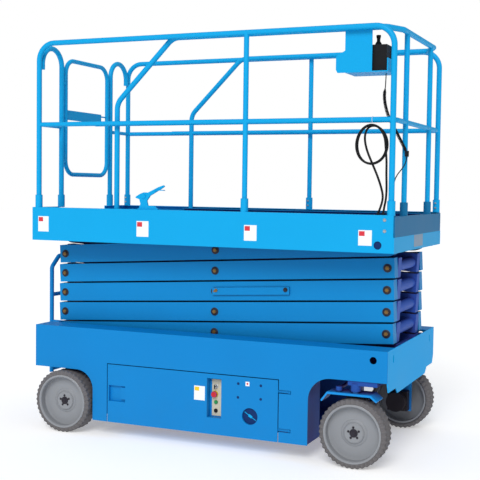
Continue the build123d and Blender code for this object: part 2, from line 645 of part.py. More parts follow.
# Main side rails
post_foot_z = toe_top_z - 3
for side_name, side in SIDES:
    y = side * main_rail_y
    rail = tube([(rear_post_x, y, post_foot_z), (rear_post_x, y, rail_top_z),
                 (front_post_x, y, rail_top_z), (front_post_x, y, post_foot_z)], rail_radius, rail_bend)
    rail += tube([(rear_post_x, y, mid_rail_z), (front_post_x, y, mid_rail_z)], mid_rail_radius, 0)
    rail += upright(rail_radius - 1, middle_post_x, y, post_foot_z, rail_top_z)
    save(f"rail_{side_name}", rail)

# Rear arches beside the gate
arches = []
arch_radius = (main_rail_y - 2 * rail_radius - 0.3 - gate_post_y) / 2
arch_spring_z = 2263.0
hinge_axis_x = rear_post_x + gate_hinge_x_offset
for side_name, side in SIDES:
    outer_y = gate_post_y + 2 * arch_radius
    arch = tube([(rear_post_x, side * gate_post_y, post_foot_z),
                 (rear_post_x, side * gate_post_y, arch_spring_z + arch_radius),
                 (rear_post_x, side * outer_y, arch_spring_z + arch_radius),
                 (rear_post_x, side * outer_y, arch_spring_z - 34)], rail_radius, arch_radius - 0.01)
    arch += tube([(rear_post_x, side * gate_post_y, mid_rail_z), (rear_post_x, side * (main_rail_y - rail_radius - 0.3), mid_rail_z)],
                 mid_rail_radius - 2, 0)
    if side_name == "near":
        for hinge_z in gate_hinge_heights:
            arch += block(hinge_axis_x - 3, hinge_axis_x + 3, -gate_post_y + 7, -gate_hinge_y, hinge_z - 40, hinge_z - 21)
            arch += upright(gate_hinge_radius, hinge_axis_x, -gate_hinge_y, hinge_z - 40, hinge_z - 21)
            arch += upright(gate_pin_radius, hinge_axis_x, -gate_hinge_y, hinge_z - 30, hinge_z + 22)
    else:
        arch += block(rear_post_x - 3, rear_post_x + 3, gate_edge_y + gate_radius + 6, gate_post_y - rail_radius + 4,
                      1940, 1998)
    arches.append(arch)
save("rear_arches", Compound(children=arches))

# Gate
gate_frame = tube([(rear_post_x, 0, gate_bottom_z), (rear_post_x, gate_edge_y, gate_bottom_z),
                   (rear_post_x, gate_edge_y, gate_top_z), (rear_post_x, 0, gate_top_z)], gate_radius, gate_bend)
gate_frame += tube([(rear_post_x, 0, gate_bottom_z), (rear_post_x, -gate_edge_y, gate_bottom_z),
                    (rear_post_x, -gate_edge_y, gate_top_z), (rear_post_x, 0, gate_top_z)], gate_radius, gate_bend)
gate_frame += block(rear_post_x - 4, rear_post_x + 4, -gate_edge_y, 175, 1938, 2000)
gate_frame += rod_along_y(5, rear_post_x, 170, gate_edge_y + 4, 1985)
for hinge_z in gate_hinge_heights:
    gate_frame += block(hinge_axis_x - 3, hinge_axis_x + 3, -gate_hinge_y, -gate_edge_y - 7, hinge_z - 20, hinge_z + 20)
    gate_frame += upright(gate_hinge_radius, hinge_axis_x, -gate_hinge_y, hinge_z - 20, hinge_z + 20)
    gate_frame -= upright(gate_pin_radius + bore_clearance, hinge_axis_x, -gate_hinge_y, hinge_z - 21, hinge_z + 21)
save("gate", gate_frame)

# Sliding extension deck with its own rails and front board
slide_deck = block(slide_deck_rear_x, half_length - 6, -half_width + 45, half_width - 45, deck_top_z + 6, deck_top_z + 12)
for strip_y in (-380, 0, 380):
    slide_deck += block(slide_deck_rear_x, half_length - 30, strip_y - wear_strip_half, strip_y + wear_strip_half,
                        deck_top_z + 0.3, deck_top_z + 7)
for side_name, side in SIDES:
    slide_deck += side_block(side, slide_deck_rear_x, half_length - 22, slide_rail_y + 14, slide_rail_y + 19,
                             deck_top_z + 6, toe_top_z - 10)
    slide_deck += side_block(side, slide_deck_rear_x, slide_front_x - 24.3, slide_rail_y - 16, slide_rail_y + 19,
                             toe_top_z - 14, toe_top_z - 10)
save("extension_deck", slide_deck)

slide_foot_z = toe_top_z - 9.7
slide_bend = 95.0
diagonal_foot_z = 2012.0
for side_name, side in SIDES:
    y = side * slide_rail_y
    rail = tube([(slide_post_x, y, slide_foot_z), (slide_post_x, y, diagonal_foot_z),
                 (slide_post_x + rail_top_z - diagonal_foot_z, y, rail_top_z),
                 (slide_front_x - 100.3, y, rail_top_z)], rail_radius, slide_bend)
    rail += tube([(slide_post_x - 150, y, mid_rail_z), (slide_front_x - 60.3, y, mid_rail_z)], mid_rail_radius, 0)
    save(f"extension_rail_{side_name}", rail)

front_rail_start_x = slide_front_x - 100
front_mid_start_x = slide_front_x - 60
front = tube([(front_rail_start_x, -slide_rail_y, rail_top_z), (slide_front_x - 62, -slide_rail_y, rail_top_z),
              (slide_front_x, -slide_kink_y, rail_top_z), (slide_front_x, slide_kink_y, rail_top_z),
              (slide_front_x - 62, slide_rail_y, rail_top_z), (front_rail_start_x, slide_rail_y, rail_top_z)],
             rail_radius, 40)
front += tube([(front_mid_start_x, -slide_rail_y, mid_rail_z), (slide_front_x, -slide_rail_y, mid_rail_z),
               (slide_front_x, slide_rail_y, mid_rail_z), (front_mid_start_x, slide_rail_y, mid_rail_z)],
              mid_rail_radius, 40)
for side_name, side in SIDES:
    front += upright(rail_radius - 1, slide_front_x, side * slide_front_post_y, slide_foot_z, rail_top_z)
front += block(slide_front_x + 4, slide_front_x + 20, -slide_front_post_y - 20.7, -slide_front_post_y - 8, 1694, 1730)
save("extension_front_rail", front)

front_board = block(half_length - 5.7, half_length, -half_width + 8, half_width - 8, deck_top_z - 8, toe_top_z - 8)
front_board += block(slide_front_x - 24, half_length - 5, -slide_rail_y + 14, slide_rail_y - 14,
                     toe_top_z - 14, toe_top_z - 10)
for side_name, side in SIDES:
    post_y = side * slide_front_post_y
    front_board += upright(socket_radius, slide_front_x, post_y, toe_top_z - 11, toe_top_z + socket_height - 10)
    front_board -= upright(rail_radius - 0.8, slide_front_x, post_y, toe_top_z - 9.9, toe_top_z + socket_height)
front_board += upright(9, lead_gland_x, lead_gland_y, toe_top_z - 12, toe_top_z - 4)
save("extension_front_board", front_board)

# Foot pedal of the extension lock on the near lip
pedal_outline = [(-408, 0.3), (-275, 0.3), (-300, 20), (-345, 24), (-352, 52), (-330, 82), (-262, 120),
                 (-236, 136), (-242, 144), (-275, 133), (-345, 100), (-372, 101), (-395, 93), (-424, 77),
                 (-428, 68), (-402, 60), (-394, 32)]
pedal = side_plate([(pedal_x, toe_top_z + rise) for pedal_x, rise in pedal_outline], -half_width + 17, -half_width + 29)
pedal += side_block(-1, -408, -275, half_width - 36, half_width - 10, toe_top_z + 0.3, toe_top_z + 6)
pedal += rod_along_y(13, -373, -half_width + 12, -half_width + 34, toe_top_z + 78)
pedal += side_block(-1, -300, -240, half_width - 36, half_width - 10, toe_top_z + 112, toe_top_z + 117)
save("lock_pedal", pedal)

# Control holder on the near side tube of the extension
holder_outer_y = slide_rail_y + rail_radius + 0.3 + holder_sheet
holder = side_plate([(841, rail_top_z), (992, rail_top_z), (992, holder_floor_z), (800, holder_floor_z),
                     (790, holder_floor_z + 17), (790, holder_floor_z + 89), (841, holder_floor_z + 119)], -holder_outer_y, -holder_outer_y + holder_sheet)
holder += block(840, holder_front_x, -holder_outer_y + 1, -holder_inner_y,
                holder_floor_z, holder_floor_z + holder_floor)
holder += block(840, holder_front_x, -holder_inner_y - 6, -holder_inner_y, holder_floor_z,
                holder_floor_z + 89)
holder += block(holder_front_x - 6, holder_front_x, -holder_outer_y + 1, -holder_inner_y, holder_floor_z,
                holder_floor_z + 72)
holder += block(holder_front_x - 6, holder_front_x, -holder_inner_y - 70, -holder_inner_y, holder_floor_z,
                holder_floor_z + 164)
holder -= upright(lead_radius + 4, cord_exit_x, cord_exit_y, holder_floor_z - 5, holder_floor_z + holder_floor + 5)
save("control_holder", holder)

# Controller: a box with a joystick
controller_bottom_z = holder_floor_z + holder_floor + 0.3
controller_top_z = holder_floor_z + 147
controller = block(860, 1066, -500, -350, controller_bottom_z, controller_top_z)
controller += Pos(1000, -430, controller_top_z - 1) * Cone(22, 9, 26, align=(Align.CENTER, Align.CENTER, Align.MIN))
controller += upright(9, 1000, -430, controller_top_z + 10, controller_top_z + 60)
save("controller", controller)


def cord_path(points):
    """A cord's line: straight runs joined by arcs as large as the two runs beside them allow."""
    spots = [Vector(*point) for point in points]
    runs = [end - start for start, end in zip(spots, spots[1:])]
    radii = []
    for before, after in zip(runs, runs[1:]):
        half_turn = math.radians(before.get_angle(after)) / 2
        radii.append(0.45 * min(before.length, after.length) / math.tan(half_turn))
    print("cord radii", [round(radius) for radius in radii])
    return FilletPolyline(*spots, radius=radii)


def cord_tube(points, radius):
    """A cord's round solid along its line."""
    path = cord_path(points)
    solid = sweep(Plane(origin=path @ 0, z_dir=path % 0) * Circle(radius), path=path)
    print("length", round(path.length), "volume ratio", round(solid.volume / (math.pi * radius ** 2 * path.length), 4))
    return solid


# Cable glands on the near lip, and the cable: up to its coil under the mid rail and down again
glands = []
for gland_x in gland_xs:
    glands.append(upright(gland_radius, gland_x, gland_y, toe_top_z, toe_top_z + gland_height))
save("cable_glands", Compound(children=glands))

cable_start_z = toe_top_z + gland_height - 2
save("cable_rise", cord_tube([(gland_xs[0], gland_y, cable_start_z), (1064, -540, 1430), (1073, -538, 1478),
                              (1058, -530, 1531), (1032, -520, 1593), (1003, -514, 1653), (972, -518, 1722),
                              (959, -526, 1780), (964, -534, 1822), (985, coil_y, 1853)], cable_radius))
save("cable_drop", cord_tube([(1088, coil_y, 1730), (1091, -542, 1668), (1089, -540, 1600), (1092, -541, 1520),
                              (1089, -541, 1462), (1080, -541, 1422), (gland_xs[1], gland_y, cable_start_z)],
                             cable_radius))
coil = None
for turned, low_z, high_z in ((0, 0, 200), (1, -200, 0)):
    middle_z = coil_z + (coil_half_straight if turned == 0 else -coil_half_straight)
    ring = Pos(coil_x, coil_y, middle_z) * Rot(90, 0, 0) * Torus(coil_radius, coil_section_radius)
    half = ring & block(coil_x - 200, coil_x + 200, coil_y - 50, coil_y + 50, middle_z + low_z, middle_z + high_z)
    coil = half if coil is None else coil + half
for toward in (-1, 1):
    coil += upright(coil_section_radius, coil_x + toward * coil_radius, coil_y,
                    coil_z - coil_half_straight, coil_z + coil_half_straight)
save("cable_coil", coil)

# Curly cord from the controller to its connector by the near front post, and the lead on to the deck
curly_points = [(cord_exit_x, cord_exit_y, controller_bottom_z), (cord_exit_x, cord_exit_y, 2085),
                (1032, -419, 2014), (1048, -393, 1920), (1078, -362, 1855), (1115, -335, 1775), (1139, -319, 1722)]
curly = cord_tube(curly_points, lead_radius) + cord_tube(curly_points[2:], curly_radius)
save("curly_cord", curly)
save("cord_connector", upright(connector_radius, 1141, -317, 1698, 1730))
save("control_lead", cord_tube([(1141, -317, 1700), (1139, -324, 1668), (1128, -348, 1636), (1100, -392, 1588),
                                (1097, -426, 1532), (1103, -445, 1465), (lead_gland_x, lead_gland_y, 1412),
                                (lead_gland_x, lead_gland_y, toe_top_z - 4)], lead_radius - 0.5))
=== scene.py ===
import math
import bmesh
import bpy
from mathutils import Matrix, Vector


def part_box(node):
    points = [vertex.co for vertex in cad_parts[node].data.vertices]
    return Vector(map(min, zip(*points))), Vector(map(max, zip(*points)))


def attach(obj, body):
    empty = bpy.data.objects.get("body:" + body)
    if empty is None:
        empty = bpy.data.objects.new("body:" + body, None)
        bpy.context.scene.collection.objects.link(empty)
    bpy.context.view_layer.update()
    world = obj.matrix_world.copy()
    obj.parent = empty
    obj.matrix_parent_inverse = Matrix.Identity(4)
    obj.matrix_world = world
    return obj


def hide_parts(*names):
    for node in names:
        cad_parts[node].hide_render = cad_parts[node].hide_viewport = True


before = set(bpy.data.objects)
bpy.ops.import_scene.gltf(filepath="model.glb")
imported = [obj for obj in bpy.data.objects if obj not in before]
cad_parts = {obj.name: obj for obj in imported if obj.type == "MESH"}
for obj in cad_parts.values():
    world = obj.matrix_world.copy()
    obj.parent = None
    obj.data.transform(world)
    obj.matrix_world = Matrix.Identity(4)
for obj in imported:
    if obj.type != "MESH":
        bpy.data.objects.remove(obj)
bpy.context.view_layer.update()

# A self-propelled scissor lift, dressed for the render.
# Units are metres. X runs forward to the steered wheels, Y to the left side, Z up.
# Places are counted from the middle of the platform, as in the part's source.
board_low, board_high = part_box("toe_boards")
PLATFORM_X = (board_low.x + board_high.x) / 2
PLATFORM_SIDE = board_high.y
SKIRT_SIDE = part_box("skirt_far")[1].y
SIDES = (("near", -1), ("far", 1))
ARM_NUMBERS = range(1, 6)

# The view of the photograph
CAMERA_PLACE = (2.497, -5.7278, 1.5162)
CAMERA_YAW = 23.4588
CAMERA_PITCH = -3.0002
CAMERA_ROLL = 0.7551
CAMERA_LENS = 74.94
SENSOR_WIDTH = 36.0
CAMERA_REACH = 100

# Light
SKY_STRENGTH = 0.46
SUN_STRENGTH = 1.95
SUN_FROM = (0.15, -0.8, 0.6)
SUN_SOFTNESS = 30.0
SKY_COLOUR = (0.97, 0.98, 1, 1)
WHITE = (1, 1, 1, 1)
FLOOR_GLOW = 0.32
FLOOR_SIZE = 40


def at(x, y, z):
    """A place counted from the middle of the platform."""
    return Vector((x + PLATFORM_X, y, z))


# Camera
def make_camera():
    yaw = math.radians(CAMERA_YAW)
    pitch = math.radians(CAMERA_PITCH)
    roll = math.radians(CAMERA_ROLL)
    flat = math.cos(pitch)
    forward = Vector((-math.sin(yaw) * flat, math.cos(yaw) * flat, math.sin(pitch)))
    level = Vector((math.cos(yaw), math.sin(yaw), 0))
    upward = level.cross(forward)
    right = level * math.cos(roll) + upward * math.sin(roll)
    top = upward * math.cos(roll) - level * math.sin(roll)
    turned = Matrix((right, top, -forward)).transposed().to_4x4()
    turned.translation = at(*CAMERA_PLACE)
    data = bpy.data.cameras.new("camera")
    data.lens = CAMERA_LENS
    data.sensor_width = SENSOR_WIDTH
    data.clip_end = CAMERA_REACH
    camera = bpy.data.objects.new("camera", data)
    camera.matrix_world = turned
    bpy.context.scene.collection.objects.link(camera)
    bpy.context.scene.camera = camera


make_camera()


# Cords: routes in metres, counted from the middle of the platform
CABLE_DIAMETER = 0.012
CABLE_RISE = ((1.048, -0.541, 1.390), (1.064, -0.540, 1.430), (1.073, -0.538, 1.478), (1.058, -0.530, 1.531),
              (1.032, -0.520, 1.593), (1.003, -0.514, 1.653), (0.972, -0.515, 1.722), (0.959, -0.520, 1.780),
              (0.964, -0.524, 1.822), (0.982, -0.526, 1.850))
CABLE_DROP = ((1.091, -0.550, 1.668), (1.089, -0.544, 1.600), (1.092, -0.542, 1.520), (1.089, -0.541, 1.462),
              (1.080, -0.541, 1.422), (1.076, -0.541, 1.390))
COIL_MIDDLE = (1.0035, -0.540, 1.754)
COIL_HALF_WIDTH = 0.0835
COIL_HALF_HEIGHT = 0.1050
COIL_START = 84.0
COIL_TURNS = 2.28
COIL_STEPS = 16
COIL_PITCH = 0.0132
COIL_SLACK = 0.003
COIL_SLACK_RATE = 1.7
LEAD_DIAMETER = 0.006
CURLY_ROUTE = ((1.043, -0.420, 2.1493), (1.043, -0.420, 2.085), (1.032, -0.419, 2.014),
               (1.048, -0.393, 1.920), (1.078, -0.362, 1.855), (1.115, -0.335, 1.775),
               (1.139, -0.319, 1.722))
CURLY_DIAMETER = 0.006
CURLY_RADIUS = 0.0068
CURLY_PITCH = 0.0072
CURLY_STEPS = 14
CURLY_STRAIGHT = 0.085
CURLY_END = 0.004
CURLY_OPENS_OVER = 0.02
CURLY_CLOSES_OVER = 0.014
STRAIGHT_PLACES = slice(6, None, 12)
STRAIGHT_END = 0.01
LEAD_ROUTE = ((1.108, -0.450, 1.376), (1.108, -0.450, 1.412), (1.103, -0.445, 1.465),
              (1.097, -0.426, 1.532), (1.100, -0.392, 1.588), (1.128, -0.348, 1.636),
              (1.139, -0.324, 1.668), (1.141, -0.317, 1.700))
SPLINE_ORDER = 3
CORD_RESOLUTION = 6
CORD_ROUNDNESS = 4
CURLY_RESOLUTION = 2
CURLY_ROUNDNESS = 2
LINE_RESOLUTION = 24


def spline_curve(name, points, radius, roundness):
    """A curve of one NURBS spline along places in the frame."""
    data = bpy.data.curves.new(name, "CURVE")
    data.dimensions = "3D"
    spline = data.splines.new("NURBS")
    spline.points.add(len(points) - 1)
    for place, point in zip(points, spline.points):
        point.co = (*place, 1)
    spline.order_u = SPLINE_ORDER
    data.bevel_depth = radius
    data.bevel_resolution = roundness
    curve = bpy.data.objects.new(name, data)
    bpy.context.scene.collection.objects.link(curve)
    return curve


def route_curve(name, points, radius):
    """An open cord along a route, with closed ends."""
    curve = spline_curve(name, points, radius, CORD_ROUNDNESS)
    curve.data.splines[0].use_endpoint_u = True
    curve.data.splines[0].resolution_u = CORD_RESOLUTION
    curve.data.use_fill_caps = True
    return curve


def route_line(points):
    """Places along the smooth line of a route, read from a curve with no bevel."""
    bare = route_curve("bare_route", points, 0)
    bare.data.splines[0].resolution_u = LINE_RESOLUTION
    line = bpy.data.meshes.new_from_object(bare)
    places = [vertex.co.copy() for vertex in line.vertices]
    bpy.data.objects.remove(bare)
    bpy.data.meshes.remove(line)
    return places


def coil_points():
    """Loose turns hung from the mid rail, from the rise's end at the top to the drop's start."""
    count = round(COIL_TURNS * COIL_STEPS)
    points = []
    for step in range(count + 1):
        turned = step / COIL_STEPS
        angle = math.radians(COIL_START) - 2 * math.pi * turned
        slack = COIL_SLACK * math.sin(COIL_SLACK_RATE * math.pi * turned)
        width = COIL_HALF_WIDTH + slack
        height = COIL_HALF_HEIGHT - slack
        side = COIL_MIDDLE[1] + (COIL_TURNS / 2 - turned) * COIL_PITCH
        along = COIL_MIDDLE[0] + width * math.cos(angle)
        points.append(at(along, side, COIL_MIDDLE[2] + height * math.sin(angle)))
    return points


def curly_points():
    """A straight lead that turns into a helix about the route."""
    places = route_line([at(*point) for point in CURLY_ROUTE])
    travelled = 0
    turned = 0
    points = [places[0]]
    across = Vector((1, 0, 0))
    step_length = CURLY_PITCH / CURLY_STEPS
    due = CURLY_STRAIGHT
    total = sum((b - a).length for a, b in zip(places, places[1:]))
    for start, end in zip(places, places[1:]):
        run = end - start
        heading = run.normalized()
        across = (across - heading * across.dot(heading)).normalized()
        other = heading.cross(across)
        while due <= travelled + run.length and due < total - CURLY_END:
            grown = min(1, (due - CURLY_STRAIGHT) / CURLY_OPENS_OVER)
            closing = min(1, (total - due) / CURLY_CLOSES_OVER)
            radius = CURLY_RADIUS * grown * closing
            offset = across * math.cos(turned) + other * math.sin(turned)
            points.append(start + heading * (due - travelled) + offset * radius)
            turned += 2 * math.pi / CURLY_STEPS
            due += step_length
        travelled += run.length
    points.append(places[-1])
    straight = CURLY_STRAIGHT - STRAIGHT_END
    points[1:1] = [place for place in places[STRAIGHT_PLACES] if (place - places[0]).length < straight]
    return points


def make_cords():
    rise = [at(*point) for point in CABLE_RISE]
    drop = [at(*point) for point in CABLE_DROP]
    cable_route = rise + coil_points() + drop
    cable = route_curve("platform_cable", cable_route, CABLE_DIAMETER / 2)
    curly_route = curly_points()
    curly = route_curve("controller_curly_cord", curly_route, CURLY_DIAMETER / 2)
    curly.data.splines[0].resolution_u = CURLY_RESOLUTION
    curly.data.bevel_resolution = CURLY_ROUNDNESS
    lead_route = [at(*point) for point in LEAD_ROUTE]
    lead = route_curve("controller_lead", lead_route, LEAD_DIAMETER / 2)
    return cable, curly, lead


cable, curly_cord, control_lead = make_cords()


# Materials
# Painted shade: colours that the paint turns to in corners and narrow spaces
SHADE_VIOLET = "#3B1E66"
SHADE_BLUE = "#07305F"
SHADE_REACH = 0.3
SHADE_SAMPLES = 6
SHADE_FULL = 0.12
SHADE_NONE = 0.62
GRIME_COLOUR = "#4A463F"
GRIME_LOW = 0.05
GRIME_HIGH = 0.65
GRIME_SCALE = 14
GRIME_DETAIL = 8
SCUFF_STRETCH = (9, 9, 40)
SCUFF_SCALE = 5
SCUFF_DETAIL = 12
SCUFF_ROUGHNESS = 0.7
SCUFF_FROM = 0.66
SCUFF_FULL = 0.74
SCUFF_DARKNESS = 0.45
COAT_ROUGHNESS = 0.25
METAL_SPECULAR = 0.5
PAINT_SPECULAR = 0.16
PATCH_DETAIL = 6
GLOSS_SPREAD = 0.08
GLOSS_LEAST = 0.02
GRAIN_DETAIL = 3
GRAIN_DEPTH = 0.0004
DIAMOND_TURNS = (45, -45)
DIAMOND_SCALE = (28, 11, 1)
DIAMOND_EDGE = 0.32
DIAMOND_TOP = 0.18
DIAMOND_RELIEF = 0.7
DIAMOND_HEIGHT = 0.002


def linear(code):
    """A colour written as in a picture editor, turned into the renderer's own."""
    parts = [int(code[i:i + 2], 16) / 255 for i in (1, 3, 5)]
    return [c / 12.92 if c <= 0.04045 else ((c + 0.055) / 1.055) ** 2.4 for c in parts] + [1]


def scaled(colour, factor):
    """The same colour, lighter or darker."""
    return [min(1, channel * factor) for channel in colour[:3]] + [1]


def add_noise(nodes, links, places, scale, detail, roughness=0.5):
    noise = nodes.new("ShaderNodeTexNoise")
    noise.inputs["Scale"].default_value = scale
    noise.inputs["Detail"].default_value = detail
    noise.inputs["Roughness"].default_value = roughness
    links.new(places, noise.inputs["Vector"])
    return noise.outputs["Fac"]


def add_range(nodes, links, value, *, from_min=0.0, from_max=1.0, to_min=0.0, to_max=1.0):
    """Stretches a value from one range to another."""
    stretched = nodes.new("ShaderNodeMapRange")
    stretched.inputs["From Min"].default_value = from_min
    stretched.inputs["From Max"].default_value = from_max
    stretched.inputs["To Min"].default_value = to_min
    stretched.inputs["To Max"].default_value = to_max
    links.new(value, stretched.inputs["Value"])
    return stretched.outputs["Result"]


def add_mapping(nodes, links, places, scale, turn=0.0):
    mapping = nodes.new("ShaderNodeMapping")
    mapping.inputs["Rotation"].default_value = (0, 0, math.radians(turn))
    mapping.inputs["Scale"].default_value = scale
    links.new(places, mapping.inputs["Vector"])
    return mapping.outputs["Vector"]


def add_math(nodes, links, operation, first, second):
    combined = nodes.new("ShaderNodeMath")
    combined.operation = operation
    links.new(first, combined.inputs[0])
    links.new(second, combined.inputs[1])
    return combined.outputs["Value"]


def add_mix(nodes, links, factor, first, second):
    """Blends two colours, each a list of channels or another node's output."""
    mix = nodes.new("ShaderNodeMix")
    mix.data_type = "RGBA"
    links.new(factor, mix.inputs["Factor"])
    for key, colour in (("A", first), ("B", second)):
        if isinstance(colour, list):
            mix.inputs[key].default_value = colour
        else:
            links.new(colour, mix.inputs[key])
    return mix.outputs["Result"]


def add_relief(nodes, links, height, strength, distance):
    """Bump on the finish, in place of any that it had."""
    relief = nodes.new("ShaderNodeBump")
    relief.inputs["Strength"].default_value = strength
    relief.inputs["Distance"].default_value = distance
    links.new(height, relief.inputs["Height"])
    links.new(relief.outputs["Normal"], nodes["Principled BSDF"].inputs["Normal"])


def add_shade(nodes, links, result, code):
    """Painted shade: turns the paint towards a shade colour in corners and narrow spaces."""
    hollow = nodes.new("ShaderNodeAmbientOcclusion")
    hollow.samples = SHADE_SAMPLES
    hollow.inputs["Distance"].default_value = SHADE_REACH
    open_share = add_range(nodes, links, hollow.outputs["AO"], from_min=SHADE_FULL, from_max=SHADE_NONE)
    return add_mix(nodes, links, open_share, linear(code), result)


def add_grime(nodes, links, places, result, grime):
    """Dust and dirt that thin out upwards from the floor."""
    split = nodes.new("ShaderNodeSeparateXYZ")
    links.new(places, split.inputs["Vector"])
    height = add_range(nodes, links, split.outputs["Z"], from_min=GRIME_LOW, from_max=GRIME_HIGH,
                       to_min=grime, to_max=0)
    speckle = add_noise(nodes, links, places, GRIME_SCALE, GRIME_DETAIL)
    amount = add_math(nodes, links, "MULTIPLY", height, speckle)
    return add_mix(nodes, links, amount, result, linear(GRIME_COLOUR))


def add_scuffs(nodes, links, places, result, colour, scuffs):
    """Short dark scratches and worn specks in the paint."""
    stretched = add_mapping(nodes, links, places, SCUFF_STRETCH)
    marks = add_noise(nodes, links, stretched, SCUFF_SCALE, SCUFF_DETAIL, SCUFF_ROUGHNESS)
    share = add_range(nodes, links, marks, from_min=SCUFF_FROM, from_max=SCUFF_FULL, to_max=scuffs)
    return add_mix(nodes, links, share, result, scaled(colour, SCUFF_DARKNESS))


def surface(name, code, roughness, *, metallic=0.0, spread=0.07, patch=3.0, grain=220.0, bump=0.12,
            coat=0.0, grime=0.0, scuffs=0.0, shaded=None):
    """A finish of patchy colour, fine grain and uneven gloss, with dirt, wear and painted shade where asked.
    """
    colour = linear(code)
    material = bpy.data.materials.new(name)
    material.use_nodes = True
    nodes = material.node_tree.nodes
    links = material.node_tree.links
    shader = nodes["Principled BSDF"]
    shader.inputs["Metallic"].default_value = metallic
    shader.inputs["Coat Weight"].default_value = coat
    shader.inputs["Coat Roughness"].default_value = COAT_ROUGHNESS
    shader.inputs["Specular IOR Level"].default_value = METAL_SPECULAR if metallic > 0 else PAINT_SPECULAR
    places = nodes.new("ShaderNodeTexCoord").outputs["Object"]
    patches = add_noise(nodes, links, places, patch, PATCH_DETAIL)
    result = add_mix(nodes, links, patches, scaled(colour, 1 - spread), scaled(colour, 1 + spread))
    if shaded is not None:
        result = add_shade(nodes, links, result, shaded)
    if grime > 0:
        result = add_grime(nodes, links, places, result, grime)
    if scuffs > 0:
        result = add_scuffs(nodes, links, places, result, colour, scuffs)
    links.new(result, shader.inputs["Base Color"])
    gloss = add_range(nodes, links, patches, to_min=max(GLOSS_LEAST, roughness - GLOSS_SPREAD),
                      to_max=min(1, roughness + GLOSS_SPREAD))
    links.new(gloss, shader.inputs["Roughness"])
    add_relief(nodes, links, add_noise(nodes, links, places, grain, GRAIN_DETAIL), bump, GRAIN_DEPTH)
    return material


def tread_plate(name, code):
    """Painted floor plate with raised diamonds in two directions."""
    material = surface(name, code, 0.5, spread=0.1, scuffs=0.5, shaded=SHADE_VIOLET)
    nodes = material.node_tree.nodes
    links = material.node_tree.links
    places = nodes["Texture Coordinate"].outputs["Object"]
    heights = []
    for turn in DIAMOND_TURNS:
        lumps = nodes.new("ShaderNodeTexVoronoi")
        lumps.inputs["Randomness"].default_value = 0
        lumps.inputs["Scale"].default_value = 1
        links.new(add_mapping(nodes, links, places, DIAMOND_SCALE, turn), lumps.inputs["Vector"])
        heights.append(add_range(nodes, links, lumps.outputs["Distance"], from_min=DIAMOND_EDGE,
                                 from_max=DIAMOND_TOP))
    add_relief(nodes, links, add_math(nodes, links, "MAXIMUM", *heights), DIAMOND_RELIEF, DIAMOND_HEIGHT)
    return material


PLATFORM_PAINT = surface("platform_paint", "#00A0DC", 0.5, coat=0.03, spread=0.04, scuffs=0.1)
# Painted shade: a darker copy of the platform paint for the front-facing board
FRONT_BOARD_SHADE_PAINT = surface("front_board_shade_paint", "#0A6C9C", 0.5, spread=0.05, scuffs=0.12)
ARM_PAINT = surface("arm_paint", "#0084C6", 0.5, coat=0.03, spread=0.07, scuffs=0.25, shaded=SHADE_BLUE)
# Painted shade: the inner arms get a darker, violet copy of the arm paint
INNER_ARM_SHADE_PAINT = surface("inner_arm_shade_paint", "#2A55B0", 0.55, spread=0.08, scuffs=0.3, shaded=SHADE_VIOLET)
CHASSIS_PAINT = surface("chassis_paint", "#007EC4", 0.5, coat=0.03, spread=0.04, scuffs=0.12, grime=0.08)
# Painted light: the front plate gets a lighter blue than the rest of the chassis
FRONT_PLATE_LIT_PAINT = surface("front_plate_lit_paint", "#00A4EA", 0.6, spread=0.04, scuffs=0.12)
KNUCKLE_PAINT = surface("knuckle_paint", "#0A8AD8", 0.45, coat=0.1, spread=0.07, scuffs=0.2,
                        shaded=SHADE_VIOLET)
# Painted shade: the frame, axles and tie rod low in the chassis get a darker, violet copy of the blue paint,
# with dirt
SHADED_PAINT = surface("under_shade_paint", "#1C4C9E", 0.55, spread=0.12, scuffs=0.25, grime=0.3,
                       shaded=SHADE_VIOLET)
DECK_PAINT = tread_plate("deck_paint", "#0A7EBE")
TYRE_RUBBER = surface("tyre_rubber", "#6F6D70", 0.85, spread=0.14, patch=14, grain=420, bump=0.35,
                      grime=0.55)
RIM_PAINT = surface("rim_paint", "#8E9196", 0.45, spread=0.06, patch=7, coat=0.1, grime=0.2)
RIM_EDGE = surface("rim_edge", "#B4B7BA", 0.4, metallic=0.3, spread=0.05)
DARK_STEEL = surface("dark_steel", "#26222C", 0.45, metallic=0.4, spread=0.25, patch=20)
DARK_PAINT = surface("dark_paint", "#1B1622", 0.5, spread=0.25, patch=9, grime=0.4)
BRASS = surface("brass", "#8A6A3C", 0.35, metallic=0.7, spread=0.2, patch=60)
ZINC = surface("zinc", "#B9BCC0", 0.3, metallic=0.8, spread=0.12, patch=50)
CHROME = surface("chrome", "#D4D6DA", 0.12, metallic=1.0, spread=0.03)
BATTERY_PLASTIC = surface("battery_plastic", "#1A1B20", 0.6, spread=0.2, patch=12, grime=0.4)
BLACK_PLASTIC = surface("black_plastic", "#15161A", 0.48, spread=0.25, patch=20, grain=700, bump=0.3)
CABLE_RUBBER = surface("cable_rubber", "#131315", 0.55, spread=0.3, patch=40, grain=900, bump=0.2)
TIE_NYLON = surface("tie_nylon", "#CFE3EC", 0.4, spread=0.05, patch=60)
LABEL_WHITE = surface("label_white", "#E9EDF0", 0.4, spread=0.03, patch=30)
LABEL_RED = surface("label_red", "#D23A45", 0.42, spread=0.05, patch=30)
LABEL_YELLOW = surface("label_yellow", "#E6C431", 0.42, spread=0.05, patch=30)
BADGE_GREY = surface("badge_grey", "#6C8BA6", 0.4, metallic=0.2, spread=0.06, patch=30)
PANEL_BEIGE = surface("panel_beige", "#C9C2AC", 0.45, spread=0.06, patch=40)
BUTTON_RED = surface("button_red", "#C2202B", 0.3, coat=0.3, spread=0.08, patch=60)
BUTTON_GREEN = surface("button_green", "#18884A", 0.3, coat=0.3, spread=0.08, patch=60)
# Painted shade for holes and recesses
SEAM_SHADOW = surface("seam_shadow", "#0B2E63", 0.7, spread=0.2, patch=20)

